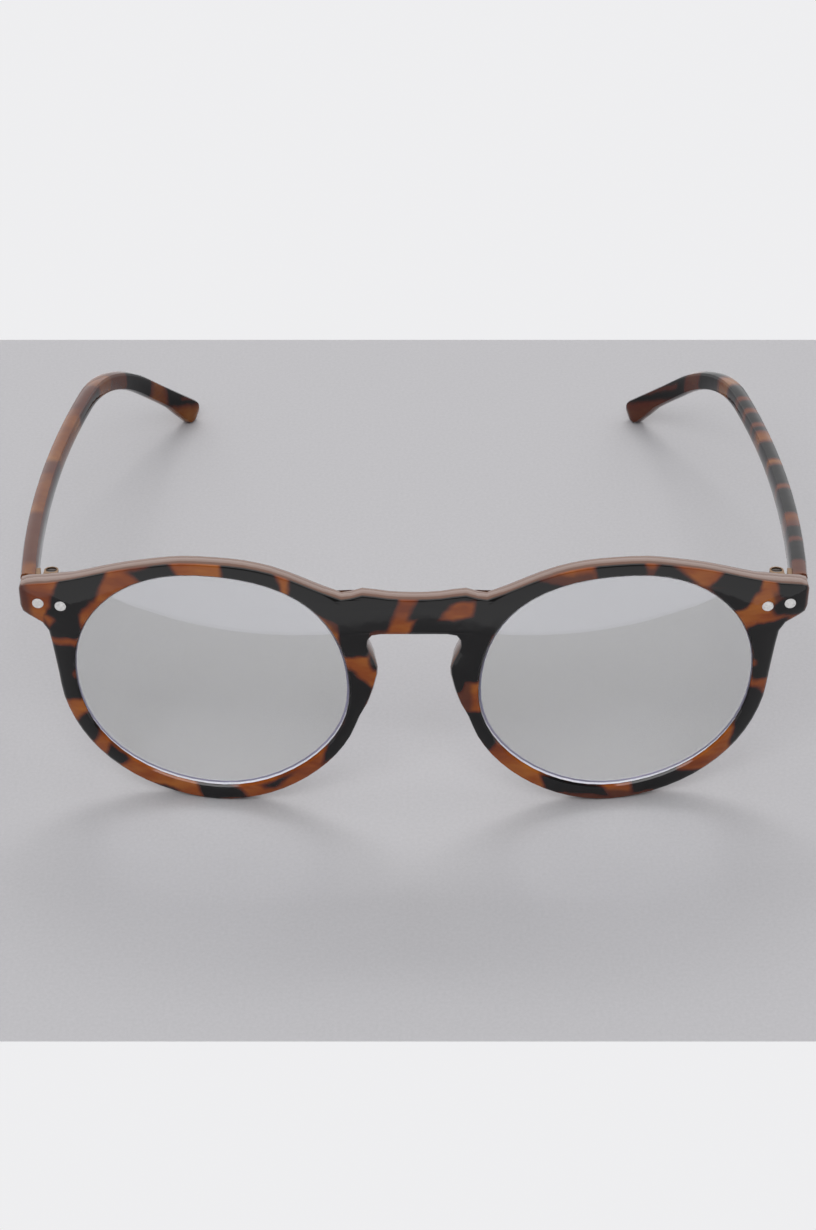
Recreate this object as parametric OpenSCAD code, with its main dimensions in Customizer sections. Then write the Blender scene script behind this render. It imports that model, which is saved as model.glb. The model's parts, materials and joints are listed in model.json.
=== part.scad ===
// Round glasses with a keyhole bridge, standing open on a table.
// X runs across the face, Y runs back along the temples, and Z is up from the table.
// The frame rests on the bottoms of its two rims and on the tips of its two temples.

/* [Lenses] */
// Width of one lens opening
lens_w = 49.2; // [44:0.2:54]
// Height of one lens opening
lens_h = 46; // [40:0.2:50]
// Distance between the two openings, across the nose
lens_gap = 22.8; // [20:0.2:27]
// Roundness of the openings: 2 is an ellipse, and more is squarer
lens_fullness = 2.1; // [1.9:0.05:2.4]
// Thickness of a lens
lens_t = 1.8; // [1.7:0.1:2]
// Depth of a lens's edge behind the front face
lens_recess = 0.35; // [0.3:0.05:0.6]
// Height of the lens's crown above its edge
lens_crown = 0.8; // [0:0.1:1.2]
// How far the bevel on the lens's edge reaches into the groove
bevel_h = 0.6; // [0.3:0.1:0.9]

/* [Rims] */
// Radius that the whole front is bowed to
face_r = 300; // [200:5:600]
// Depth of the rims from front to back
rim_depth = 3.2; // [3.1:0.1:4.4]
// Width of the rims above the lenses
rim_top = 2.5; // [2:0.1:3.2]
// Width of the rims where they rise from the bridge
rim_shoulder = 3.1; // [2.6:0.1:3.8]
// Width of the rims at the temple side
rim_side = 3.3; // [2.6:0.1:4]
// Width of the rims below the lenses
rim_bottom = 3.45; // [2.6:0.05:4]
// Width of the rims below the nose pads
rim_nose = 2.5; // [2.2:0.1:3.4]
// Radius on the front edges
front_edge = 0.8; // [0.4:0.1:1]
// Radius on the rear edges
rear_edge = 0.7; // [0.4:0.1:0.9]

/* [Bridge] */
// Height of the bridge at its middle
bridge_h = 7.5; // [6:0.1:8.5]
// Drop from the top of the rims to the top of the bridge
bridge_drop = 5.9; // [4.5:0.1:7.5]
// Distance from the middle to the small crest on each side of the bridge
crest_x = 9; // [8:0.1:10]
// Height of the crests above the middle of the bridge
crest_h = 0.8; // [0.2:0.1:1.4]
// Width of the keyhole below the bridge
keyhole_w = 16.2; // [14.5:0.1:17.5]
// Narrowest gap between the nose pads
pad_gap = 12.7; // [11:0.1:14]
// Drop from the top of the keyhole to that narrowest place
pad_drop = 7.6; // [7:0.1:9]
// How far the nose pads stand out behind the rims
pad_depth = 3.6; // [2:0.1:5]

/* [End pieces] */
// Reach of an end piece beyond the lens opening
end_reach = 9.1; // [8.4:0.1:11]
// Drop from the top of the rims to the top corner of an end piece
end_drop = 7.9; // [6:0.05:10]
// Height of an end piece at its outer edge
end_h = 6.75; // [6:0.05:8]
// Depth of an end piece at its outer edge
end_depth = 3.45; // [3.2:0.05:4.5]
// Angle of the end pieces' flat backs, across the face
end_slant = 15; // [8:0.5:18]
// Diameter of the rivet pins
rivet_d = 2; // [1.6:0.1:2.4]
// Distance between the two rivets of an end piece
rivet_pitch = 4.05; // [3.6:0.05:4.4]
// Distance from an end piece's outer edge to its outer rivet
rivet_in = 3.4; // [2.8:0.1:3.8]

/* [Temples] */
// Thickness of a temple
temple_t = 2.9; // [2.4:0.1:3.6]
// Height of a temple at the hinge
temple_h = 5.1; // [5:0.1:6]
// Height of a temple along its middle
temple_mid_h = 3.9; // [3.4:0.1:5]
// Height of the foot at the end of the tip
foot_h = 5.4; // [4.6:0.1:7]
// Length from the hinge to the start of the ear bend
temple_run = 85; // [70:1:100]
// Radius of the ear bend
bend_r = 59; // [30:1:80]
// Slope of a temple from the hinge to the ear bend
temple_slope = 7.4; // [4:0.1:10]
// Slope of the tip behind the ear bend
tip_slope = 40.5; // [34:0.5:50]
// Outward lean of a temple at its hinge
lean_out = 6.3; // [0:0.1:8]
// Inward turn of a temple for each 100 mm of length
turn_in = 15.6; // [8:0.1:20]
// Extra inward turn of the tip for each 50 mm behind the start of the bend
tip_turn = 17.5; // [8:0.1:24]

/* [Hinges] */
// Height of a hinge barrel
barrel_h = 5; // [4.4:0.1:5.4]
// Diameter of a hinge barrel
barrel_d = 2.5; // [2.3:0.1:2.8]
// Diameter of the hinge screw
screw_d = 1.4; // [1.2:0.05:1.5]
// Distance from the temple's inner face to the hinge axis
hinge_in = 2.35; // [2.2:0.05:2.8]
// Distance from the rear corner of the end piece back to the hinge axis
hinge_back = 1.9; // [1.7:0.05:2.6]
// Height of the hinge above the middle of the end piece
hinge_lift = 0.25; // [0:0.05:0.5]
// Thickness of the hinge plates
plate_t = 0.9; // [0.7:0.05:1.1]
// Length of the anchor that the temple is moulded round
anchor_l = 11; // [7:0.5:14]

/* [Fits] */
// Gap between a temple and its end piece
temple_gap = 0.2; // [0.15:0.05:0.3]
// Radial clearance of the screw in the hinge barrels
screw_fit = 0.04; // [0.02:0.01:0.08]
// Gap between the hinge barrels
barrel_gap = 0.06; // [0.04:0.01:0.1]
// Clearance of the metal parts in the plastic
seat_fit = 0.03; // [0.02:0.01:0.05]
// Clearance of the lenses in their grooves
lens_fit = 0.08; // [0.05:0.01:0.12]

/* [Hidden] */
$fn = 48;

// Places that the front is laid out from
lens_x = lens_gap/2 + lens_w/2;
lens_z = rim_bottom + lens_h/2;
side_x = lens_x + lens_w/2 + rim_side;
rims_top = rim_bottom + lens_h + rim_top;
bridge_top = rims_top - bridge_drop;
keyhole_top = bridge_top - bridge_h;
keyhole_x = keyhole_w/2;
pad_x = pad_gap/2;
pad_z = keyhole_top - pad_drop;
end_x = lens_x + lens_w/2 + end_reach;
end_top = rims_top - end_drop;
end_low = end_top - end_h;

// How the opening's roundness differs from brow to cheek and from corner to corner
fullness_brow = 0.12;
fullness_corner = 0.1;

// Angles round the opening run from the nose over the brow: 0 nose, 90 top, 180 temple, 270 bottom
bridge_turn = 45;
keyhole_turn = 392;
rim_widths = [[61, rim_shoulder], [90, rim_top], [190, rim_side], [270, rim_bottom],
              [340, rim_nose]];

// Longest step along the outline, and the number of steps where the halves of the bridge meet
outline_step = 2.4;
bridge_steps = 3;

// Radii on the edges round the lens, at the front and at the rear
inner_edge = 0.3;
inner_back = 0.6;

// The groove and bevel, from each face of the lens's edge
bevel_root = 0.5;
bevel_crest = bevel_root + 0.3;

// Both rivets of an end piece stand at this height, the outer one first
rivet_drop = 0.35;
rivet_z = (end_top + end_low)/2 - rivet_drop;
rivet_x = [end_x - rivet_in, end_x - rivet_in - rivet_pitch];

// The hinge plate reaches this far past the rivets' holes
plate_edge = 0.5;
plate_x = [rivet_x[1] - rivet_d/2 - plate_edge, rivet_x[0] + rivet_d/2 + plate_edge];

// The end pieces thicken to a flat back between these places, and fade below this height
block_out = plate_x[0] + 0.05;
block_in = block_out - 1.4;
block_fade = 5;

// How far in an arc's middle lies from its corner, as a share of its radius
round45 = 1 - sqrt(0.5);

// Longer than any hole through the frame
through = 30;

// The hinge frame: its origin is on the flat back of an end piece, level with the hinge
hinge_z = (end_top + end_low)/2 + hinge_lift;
end_back = face_y(end_x) + end_depth;
temple_in = end_x - temple_t/cos(lean_out);
hinge_x = temple_in - hinge_in;

function face_y(x) = face_r - sqrt(face_r*face_r - x*x);

function ease(low, high, v) =
    let (u = min(1, max(0, (v - low)/(high - low))))
    u*u*(3 - 2*u);

function signed_power(v, e) = sign(v)*pow(abs(v), e);

function left_of(d) = [-d[1], d[0]]/norm(d);

// The lens opening as a rounded curve, with its outward normal
function opening_point(t) =
    let (e = 2/(lens_fullness + fullness_brow*sin(t) + fullness_corner*sin(2*t)))
    [lens_x - lens_w/2*signed_power(cos(t), e), lens_z + lens_h/2*signed_power(sin(t), e)];

function opening_normal(t) = left_of(opening_point(t + 1) - opening_point(t - 1));

// A knot of the outline: x, z and the angle of the opening that it is joined to
function rim_knot(t) =
    let (p = opening_point(t) + lookup(t, rim_widths)*opening_normal(t))
    [p[0], p[1], t];

bridge_knots = [
    [0, bridge_top, bridge_turn],
    [crest_x/2, bridge_top + 0.25*crest_h, bridge_turn + 2.5],
    [crest_x, bridge_top + crest_h, bridge_turn + 5.5],
    [crest_x + 2.1, bridge_top + 0.1, bridge_turn + 7.5],
    [crest_x + 3.6, bridge_top - 0.2, bridge_turn + 9],
    [crest_x + 6.8, bridge_top + 1.1, bridge_turn + 11.5]];

end_knots = [
    [end_x - 17.8, end_top + 5.1, 121],
    [end_x - 10, end_top + 2.3, 134.5],
    [end_x - 5.2, end_top + 0.8, 143.5],
    [end_x - 1.5, end_top, 150.5],
    [end_x - 0.4, end_top - 0.45, 152.5],
    [end_x, end_top - 1.5, 154.5],
    [end_x, end_low + 1.8, 158],
    [end_x - 0.3, end_low + 0.7, 159.5],
    [end_x - 1.3, end_low, 161.5],
    [side_x + 2.1, end_low - 1.3, 164.5],
    [side_x + 1.05, end_low - 2.9, 167.5],
    [side_x + 0.65, end_low - 5.5, 171.5]];

nose_knots = [
    [pad_x + 1.85, pad_z - 7.5, 353],
    [pad_x + 0.75, pad_z - 4, 360.5],
    [pad_x + 0.1, pad_z - 1.1, 367],
    [pad_x + 0.05, pad_z + 0.4, 370.5],
    [pad_x + 0.55, pad_z + 1.8, 374],
    [keyhole_x - 0.4, keyhole_top - 4, 378],
    [keyhole_x, keyhole_top - 2.5, 381.5],
    [keyhole_x - 0.15, keyhole_top - 1.2, 384.5],
    [keyhole_x - 0.8, keyhole_top - 0.35, 387],
    [keyhole_x - 2.3, keyhole_top - 0.05, 389.5],
    [0, keyhole_top, keyhole_turn]];

knots = concat(bridge_knots, [for (t = [61, 68, 78, 88, 98, 108]) rim_knot(t)], end_knots,
               [for (t = [182 : 11 : 347]) rim_knot(t)], nose_knots);

// Slope of the outline at a knot, from the knots on each side, or their mirror image at the middle
function mirrored(k) = [-k[0], k[1], k[2]];
function knot_at(i) =
    i < 0 ? mirrored(knots[1]) :
    i >= len(knots) ? mirrored(knots[len(knots) - 2]) : knots[i];
function flat(k) = [k[0], k[1]];
function chord(i) = norm(flat(knot_at(i + 1)) - flat(knot_at(i)));
function knot_slope(i) =
    (flat(knot_at(i + 1)) - flat(knot_at(i - 1)))/(chord(i) + chord(i - 1));

// A point on the smooth curve from one knot to the next
function between(i, u) =
    let (d = chord(i))
    (1 + 2*u)*(1 - u)*(1 - u)*flat(knots[i]) + u*(1 - u)*(1 - u)*d*knot_slope(i)
    + u*u*(3 - 2*u)*flat(knots[i + 1]) - u*u*(1 - u)*d*knot_slope(i + 1);

outline = [
    for (i = [0 : len(knots) - 2])
        let (steps = max(1, round(chord(i)/outline_step)))
        for (j = [0 : steps - 1])
            let (p = between(i, j/steps))
            [p[0], p[1], knots[i][2] + (knots[i + 1][2] - knots[i][2])*j/steps],
    for (j = [0 : bridge_steps - 1])
        [0, keyhole_top + bridge_h*j/bridge_steps,
         keyhole_turn + (360 + bridge_turn - keyhole_turn)*j/bridge_steps]];

outline_n = len(outline);
meet = outline_n - bridge_steps;

function outline_normal(k) =
    k == 0 ? [0, 1] :
    k >= meet ? [0, -1] :
    left_of(flat(outline[k + 1]) - flat(outline[k - 1]));

// Share of the full pad depth at a place on the outline
function pad_share(p) =
    p[0] > lens_gap/2 ? 0 :
    ease(pad_z - 10, pad_z - 2, p[1])*(1 - ease(pad_z + 3, keyhole_top - 0.8, p[1]));

// Flat back of an end piece
function block_y(x, z) =
    end_back + (x - end_x)*tan(end_slant)/cos(temple_slope) + (z - hinge_z)*tan(temple_slope);

// Back of the rims, which becomes the flat back of the end pieces
function back_y(x, z) =
    let (
        rim = face_y(x) + rim_depth,
        block = block_y(x, z),
        share = ease(block_in, block_out, x)*ease(end_low - block_fade - 1, end_low - 1, z))
    rim + share*(block - rim);

function place(p, y) = [p[0], y, p[1]];

// One section through the front, from the inner front edge round the outside to the lens groove
section_n = 16;
function section(k) =
    let (
        o = flat(outline[k]), n = outline_normal(k), t = outline[k][2],
        a = opening_point(t), m = opening_normal(t),
        pad = pad_depth*pad_share(o),
        o_back = o - 0.2*pad*n,
        heel = o_back - rear_edge*n,
        lip = a + inner_edge*m,
        back_lip = a + inner_back*m,
        floor = a + (bevel_h + lens_fit)*m,
        span = heel[0] - back_lip[0],
        f_out = min(0.8, max(0.3, span > 0 ? (heel[0] - block_out)/span : 0.3)),
        f_in = min(0.92, max(f_out + 0.12, span > 0 ? (heel[0] - block_in)/span : 0.7)),
        q_out = heel + f_out*(back_lip - heel),
        q_in = heel + f_in*(back_lip - heel),
        y_o = face_y(o[0]),
        y_a = face_y(a[0]),
        y_heel = back_y(heel[0], heel[1]) + pad,
        groove = y_a + lens_recess)
    [
        place(a, y_a + inner_edge),
        place(lip, face_y(lip[0])),
        place(o - front_edge*n, face_y(o[0] - front_edge*n[0])),
        place(o - round45*front_edge*n, y_o + round45*front_edge),
        place(o, y_o + front_edge),
        place(o_back, y_heel - rear_edge),
        place(o_back - round45*rear_edge*n, y_heel - round45*rear_edge),
        place(heel, y_heel),
        place(q_out, back_y(q_out[0], q_out[1]) + 0.6*pad),
        place(q_in, back_y(q_in[0], q_in[1])),
        place(back_lip, back_y(back_lip[0], back_lip[1])),
        place(a, back_y(a[0], a[1]) - inner_back),
        place(a, groove + lens_t - bevel_root + lens_fit),
        place(floor, groove + lens_t - bevel_crest + lens_fit),
        place(floor, groove + bevel_crest - lens_fit),
        place(a, groove + bevel_root - lens_fit)];

// The two halves of the front share the points on the middle plane
half_n = outline_n*section_n;
front_points = concat(
    [for (k = [0 : outline_n - 1]) for (p = section(k)) p],
    [for (k = [0 : outline_n - 1]) for (p = section(k)) [-p[0], p[1], p[2]]]);
function on_middle(k, j) = (k == 0 || k >= meet) && j >= 2 && j <= 7;
function front_index(side, k, j) =
    let (kk = k%outline_n, jj = j%section_n)
    (side == 1 && !on_middle(kk, jj) ? half_n : 0) + kk*section_n + jj;
function wound(side, f) = side == 1 ? f : [f[2], f[1], f[0]];
front_faces = [
    for (side = [0, 1])
        for (k = [0 : outline_n - 1])
            for (j = [0 : section_n - 1])
                if (!(k >= meet && j >= 2 && j <= 6))
                    let (
                        a = front_index(side, k, j),
                        b = front_index(side, k + 1, j),
                        c = front_index(side, k + 1, j + 1),
                        d = front_index(side, k, j + 1))
                    for (f = [[a, b, c], [a, c, d]])
                        wound(side, f)];

module front_body() {
    polyhedron(points = front_points, faces = front_faces);
}

// The right-hand hinge frame: Y runs along the temple and Z along the hinge axis
module hinge_frame() {
    translate([0, end_back, hinge_z])
        rotate([-temple_slope, 0, 0])
            children();
}

module left_side() {
    mirror([1, 0, 0])
        children();
}

// The front hinge leaf: a plate let into the back of the end piece, and two barrels on necks
knuckle_h = (barrel_h - 2*barrel_gap)/3;
neck_w = barrel_d;
neck_y = (hinge_x - end_x)*tan(end_slant) - plate_t/2;
plate_h = barrel_h;

module slanted() {
    translate([end_x, 0, 0])
        rotate([0, 0, end_slant])
            translate([-end_x, 0, 0])
                children();
}

module plate_block(grow, behind) {
    slanted()
        translate([plate_x[0] - grow, -plate_t - grow, -plate_h/2 - grow])
            cube([plate_x[1] - plate_x[0] + 2*grow, plate_t + grow + behind, plate_h + 2*grow]);
}

module barrel_pair() {
    for (z = [-barrel_h/2, barrel_h/2 - knuckle_h])
        translate([hinge_x, hinge_back, z])
            cylinder(d = barrel_d, h = knuckle_h);
}

module barrel_necks() {
    for (z = [-barrel_h/2, barrel_h/2 - knuckle_h])
        translate([hinge_x - neck_w/2, neck_y, z])
            cube([neck_w, hinge_back - neck_y, knuckle_h]);
}

module barrel_bore() {
    translate([hinge_x, hinge_back, -barrel_h/2 - 1])
        cylinder(d = screw_d + 2*screw_fit, h = barrel_h + 2);
}

// The screw's head lies sunk in the top barrel, inside a wall of this thickness
head_wall = 0.3;
head_d = barrel_d - 2*head_wall;
head_h = 0.35;
head_sink = 0.2;
slot_w = 0.25;
head_z = barrel_h/2 - head_sink - head_h;

module head_seat() {
    translate([hinge_x, hinge_back, head_z])
        cylinder(d = head_d + 2*screw_fit, h = barrel_h);
}

// A rivet runs straight back through the end piece and its hinge plate
rivet_proud = 0.02;
rivet_short = 0.1;
module rivet_line(x, z, d, y0, y1) {
    translate([x, y0, z])
        rotate([-90, 0, 0])
            cylinder(d = d, h = y1 - y0);
}

module rivet(i) {
    color("silver")
        rivet_line(rivet_x[i], rivet_z, rivet_d, face_y(rivet_x[i]) - rivet_proud,
                   block_y(rivet_x[i], rivet_z) - rivet_short);
}

module front_leaf() {
    color("lightgray")
        difference() {
            hinge_frame() {
                difference() {
                    union() {
                        plate_block(0, 0);
                        barrel_necks();
                        barrel_pair();
                    }
                    barrel_bore();
                    head_seat();
                }
            }
            for (x = rivet_x)
                rivet_line(x, rivet_z, rivet_d + 2*seat_fit, 0, through);
        }
}

module front_frame() {
    color("sienna")
        difference() {
            front_body();
            for (s = [0, 1])
                mirror([s, 0, 0]) {
                    hinge_frame()
                        plate_block(seat_fit, 1);
                    for (x = rivet_x)
                        rivet_line(x, rivet_z, rivet_d + 2*seat_fit, -1, through);
                }
        }
}

// The screw: a shank through the three barrels, with a slotted head on top
module hinge_screw() {
    color("silver")
        hinge_frame()
            translate([hinge_x, hinge_back, 0])
                difference() {
                    union() {
                        translate([0, 0, -barrel_h/2])
                            cylinder(d = screw_d, h = barrel_h/2 + head_z + head_h);
                        translate([0, 0, head_z])
                            cylinder(d = head_d, h = head_h);
                    }
                    translate([-head_d, -slot_w/2, head_z + head_h - slot_w])
                        cube([2*head_d, slot_w, 1]);
                }
}

// The temple's path in the hinge frame leans out, curves in, and bends down behind the ear
temple_lift = 0.45;
temple_z = (end_top + end_low)/2 + temple_lift - hinge_z;
temple_start = [end_x - temple_t/2/cos(lean_out),
                temple_gap - temple_t/2*tan(end_slant), temple_z];
bend_turn = tip_slope - temple_slope;
bend_end = temple_run + bend_r*bend_turn*PI/180;
toe_l = 2.6;
flare_l = 13;
temple_edge = 0.9;

function heading(s) = lean_out - turn_in*s/100 - max(0, s - temple_run)*tip_turn/50;
function pitch(s) = min(bend_turn, max(0, s - temple_run)/bend_r*180/PI);
function along(s) =
    let (h = heading(s), p = pitch(s))
    [sin(h)*cos(p), cos(h)*cos(p), -sin(p)];
function outward(s) = [cos(heading(s)), -sin(heading(s)), 0];

// Stations along a temple of length l, each with the share of its full section
function temple_stations(l) = concat(
    [for (i = [0 : 11]) [temple_run*i/12, 1]],
    [for (i = [0 : 11]) [temple_run + (bend_end - temple_run)*i/12, 1]],
    [for (i = [0 : 4]) [bend_end + (l - toe_l - bend_end)*i/5, 1]],
    [for (a = [0, 19, 37, 54, 69, 81]) [l - toe_l + toe_l*sin(a), cos(a)]]);

function path(st) = [
    for (i = 0, p = temple_start; i < len(st);
         i = i + 1,
         p = i < len(st)
             ? p + (st[i][0] - st[i - 1][0])*along((st[i][0] + st[i - 1][0])/2)
             : p)
        p];

// Slides a point along the temple to its butt, which lies parallel to the end piece's back
function on_butt(p) =
    let (d = along(0), m = tan(end_slant))
    p + (temple_gap + (p[0] - end_x)*m - p[1])/(d[1] - m*d[0])*d;

// A section is a rounded rectangle, deeper at the foot, where it grows downward
function temple_ring(p, s, share, l) =
    let (
        out = outward(s), up = cross(out, along(s)),
        top_h = temple_h/2 + (temple_mid_h - temple_h)/2*ease(0, temple_run*0.8, s),
        low_h = top_h + (foot_h - temple_mid_h)*ease(l - flare_l, l - toe_l/2, s),
        mid = (top_h - low_h)/2,
        b = (top_h + low_h)/2*share,
        a = temple_t/2*pow(share, 0.6),
        r = min(temple_edge*share, 0.6*a))
    [for (q = [[1, -1], [1, 1], [-1, 1], [-1, -1]])
        for (c = q[0]*q[1] > 0 ? [0, 1, 2] : [2, 1, 0])
            let (
                u = q[0]*(a - (c == 0 ? 0 : c == 1 ? round45*r : r)),
                v = mid + q[1]*(b - (c == 2 ? 0 : c == 1 ? round45*r : r)),
                at = p + u*out + v*up)
            s > 0 ? at : on_butt(at)];

function temple_rings(l) =
    let (st = temple_stations(l), ps = path(st))
    [for (i = [0 : len(st) - 1]) temple_ring(ps[i], st[i][0], st[i][1], l)];

// The length that brings the foot down to the table
function table_z(p) = hinge_z - p[1]*sin(temple_slope) + p[2]*cos(temple_slope);
function foot_z(l) = min([for (ring = temple_rings(l)) for (p = ring) table_z(p)]);
first_l = bend_end + 24;
temple_l = first_l + (foot_z(first_l) - 0.01)/sin(tip_slope - 2);

rings = temple_rings(temple_l);

// The whole part is moved forward, so that Y is 0 midway between its front and its tips
function table_y(p) = end_back + p[1]*cos(temple_slope) + p[2]*sin(temple_slope);
middle_y = max([for (ring = rings) for (p = ring) table_y(p)])/2;
module centred() {
    translate([0, -middle_y, 0])
        children();
}

ring_n = len(rings[0]);
ring_last = len(rings) - 1;

module temple_body() {
    polyhedron(
        points = [for (ring = rings) for (p = ring) p],
        faces = concat(
            [[for (j = [ring_n - 1 : -1 : 0]) j]],
            [for (i = [0 : ring_last - 1])
                for (j = [0 : ring_n - 1])
                    let (
                        a = i*ring_n + j, b = i*ring_n + (j + 1)%ring_n,
                        c = b + ring_n, d = a + ring_n)
                    for (f = [[a, b, c], [a, c, d]]) f],
            [[for (j = [0 : ring_n - 1]) ring_last*ring_n + j]]));
}

// The temple's hinge leaf: a plate on its inner face, with an anchor that it is moulded round
module temple_face() {
    translate([temple_in, temple_gap, 0])
        rotate([0, 0, -lean_out])
            children();
}

leaf_h = 4.4;
leaf_l = 3.4;
leaf_start = -0.45;
leaf_in = 0.3;
web_l = 1.2;
anchor_v = leaf_start + leaf_l - web_l - 0.1;
anchor_u = temple_t*0.36;
anchor_t = 0.9;
anchor_h = 1.6;
arm_t = 1.3;
module leaf_insert(grow) {
    temple_face() {
        translate([leaf_in - plate_t - grow, leaf_start - grow, -leaf_h/2 - grow])
            cube([plate_t + 2*grow, leaf_l + 2*grow, leaf_h + 2*grow]);
        translate([leaf_in - 0.1, anchor_v - grow, -anchor_h/2 - grow])
            cube([temple_t*0.3 + grow, web_l + 2*grow, anchor_h + 2*grow]);
        translate([anchor_u - grow, anchor_v - grow, -anchor_h/2 - grow])
            cube([anchor_t + 2*grow, anchor_l + 2*grow, anchor_h + 2*grow]);
    }
}

module temple_leaf() {
    color("lightgray")
        hinge_frame()
            difference() {
                union() {
                    leaf_insert(0);
                    translate([hinge_x, hinge_back, -knuckle_h/2])
                        cylinder(d = barrel_d, h = knuckle_h);
                    translate([hinge_x, hinge_back - arm_t/2, -knuckle_h/2])
                        cube([temple_in - hinge_x - 0.2, arm_t, knuckle_h]);
                }
                barrel_bore();
            }
}

module temple() {
    color("sienna")
        hinge_frame()
            difference() {
                temple_body();
                leaf_insert(seat_fit);
            }
}

// A lens: its rim is bevelled into the groove, and both of its faces are crowned
lens_n = 54;
lens_rings = [0.88, 0.72, 0.54, 0.36, 0.18];

function lens_edge(t) =
    let (
        a = opening_point(t), m = opening_normal(t),
        rim = a - lens_fit*m, crest = a + bevel_h*m, y = face_y(a[0]) + lens_recess)
    [
        place(rim, y),
        place(rim, y + bevel_root),
        place(crest, y + bevel_crest),
        place(crest, y + lens_t - bevel_crest),
        place(rim, y + lens_t - bevel_root),
        place(rim, y + lens_t)];

function lens_inside(t, k, depth) =
    let (
        rim = opening_point(t) - lens_fit*opening_normal(t),
        p = [lens_x, lens_z] + k*(rim - [lens_x, lens_z]))
    place(p, face_y(p[0]) + lens_recess - lens_crown*(1 - k*k) + depth);

lens_m = 6 + 2*len(lens_rings);
lens_points = concat(
    [for (i = [0 : lens_n - 1])
        let (t = 360*i/lens_n)
        for (p = concat(
            [for (j = [len(lens_rings) - 1 : -1 : 0]) lens_inside(t, lens_rings[j], 0)],
            lens_edge(t),
            [for (k = lens_rings) lens_inside(t, k, lens_t)])) p],
    [lens_inside(0, 0, 0), lens_inside(0, 0, lens_t)]);
lens_faces = [
    for (i = [0 : lens_n - 1])
        let (a = i*lens_m, b = (i + 1)%lens_n*lens_m)
        each concat(
            [[lens_n*lens_m, a, b], [lens_n*lens_m + 1, b + lens_m - 1, a + lens_m - 1]],
            [for (j = [0 : lens_m - 2])
                for (f = [[a + j, a + j + 1, b + j + 1], [a + j, b + j + 1, b + j]]) f])];

module lens() {
    color("lightblue", 0.5)
        polyhedron(points = lens_points, faces = lens_faces);
}

centred() front_frame();
centred() left_side() lens();  // lens_left
centred() lens();  // lens_right
centred() left_side() temple();  // temple_left
centred() temple();  // temple_right
centred() left_side() front_leaf();  // front_hinge_left
centred() front_leaf();  // front_hinge_right
centred() left_side() temple_leaf();  // temple_hinge_left
centred() temple_leaf();  // temple_hinge_right
centred() left_side() hinge_screw();  // hinge_screw_left
centred() hinge_screw();  // hinge_screw_right
centred() left_side() rivet(0);  // rivet_left_outer
centred() left_side() rivet(1);  // rivet_left_inner
centred() rivet(0);  // rivet_right_outer
centred() rivet(1);  // rivet_right_inner
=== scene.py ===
import json
import math
import bpy
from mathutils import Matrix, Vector

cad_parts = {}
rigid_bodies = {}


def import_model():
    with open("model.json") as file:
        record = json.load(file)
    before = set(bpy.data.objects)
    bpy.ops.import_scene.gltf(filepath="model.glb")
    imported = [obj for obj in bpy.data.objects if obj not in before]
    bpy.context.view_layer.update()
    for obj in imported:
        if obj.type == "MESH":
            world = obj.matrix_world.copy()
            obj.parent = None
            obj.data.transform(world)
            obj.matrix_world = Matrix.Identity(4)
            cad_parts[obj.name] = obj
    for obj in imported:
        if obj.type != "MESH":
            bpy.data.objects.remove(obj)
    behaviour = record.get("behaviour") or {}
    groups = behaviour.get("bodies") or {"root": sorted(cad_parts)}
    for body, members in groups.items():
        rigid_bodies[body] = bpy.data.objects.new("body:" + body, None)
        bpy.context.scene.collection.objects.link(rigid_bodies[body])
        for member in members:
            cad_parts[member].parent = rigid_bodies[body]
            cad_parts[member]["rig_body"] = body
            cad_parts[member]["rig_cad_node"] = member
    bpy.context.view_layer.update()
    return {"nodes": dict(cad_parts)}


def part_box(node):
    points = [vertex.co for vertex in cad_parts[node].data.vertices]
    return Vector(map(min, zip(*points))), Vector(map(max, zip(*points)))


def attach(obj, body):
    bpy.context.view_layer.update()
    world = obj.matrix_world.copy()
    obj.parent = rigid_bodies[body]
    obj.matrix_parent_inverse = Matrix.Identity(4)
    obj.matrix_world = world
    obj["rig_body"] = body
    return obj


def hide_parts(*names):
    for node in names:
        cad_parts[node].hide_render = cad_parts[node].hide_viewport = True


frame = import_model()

print("solid model loaded:", len(frame["nodes"]), "nodes")


# Camera: the same place and lens as the photograph.
cameraSetup = {
    "place": (-0.001064, -0.430690, 0.295206),
    "tilt": 55.0,        # degrees up from looking straight down
    "lens": 111.97,      # mm
    "sensor": 36.0,      # mm wide
    "nearest": 0.01,     # m, the range in which things are drawn
    "farthest": 20.0,
}
cameraData = bpy.data.cameras.new("photoCamera")
cameraData.sensor_fit = "HORIZONTAL"
cameraData.sensor_width = cameraSetup["sensor"]
cameraData.lens = cameraSetup["lens"]
cameraData.clip_start = cameraSetup["nearest"]
cameraData.clip_end = cameraSetup["farthest"]
camera = bpy.data.objects.new("photoCamera", cameraData)
camera.location = cameraSetup["place"]
camera.rotation_euler = (math.radians(cameraSetup["tilt"]), 0, 0)
bpy.context.scene.collection.objects.link(camera)
bpy.context.scene.camera = camera
bpy.context.scene.view_settings.view_transform = "Standard"
print("camera set")


# Small helpers for selecting and for node trees.
def pickNothing():
    if bpy.context.object and bpy.context.object.mode != "OBJECT":
        bpy.ops.object.mode_set(mode="OBJECT")
    bpy.ops.object.select_all(action="DESELECT")


def newMaterial(name):
    material = bpy.data.materials.new(name)
    material.use_nodes = True
    tree = material.node_tree
    tree.nodes.clear()
    output = tree.nodes.new("ShaderNodeOutputMaterial")
    shader = tree.nodes.new("ShaderNodeBsdfPrincipled")
    tree.links.new(shader.outputs[0], output.inputs[0])
    return material, tree, shader


def addNode(tree, kind, **settings):
    made = tree.nodes.new(kind)
    for key, value in settings.items():
        setattr(made, key, value)
    return made


def setInputs(made, values):
    for label, value in values.items():
        made.inputs[label].default_value = value


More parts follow.
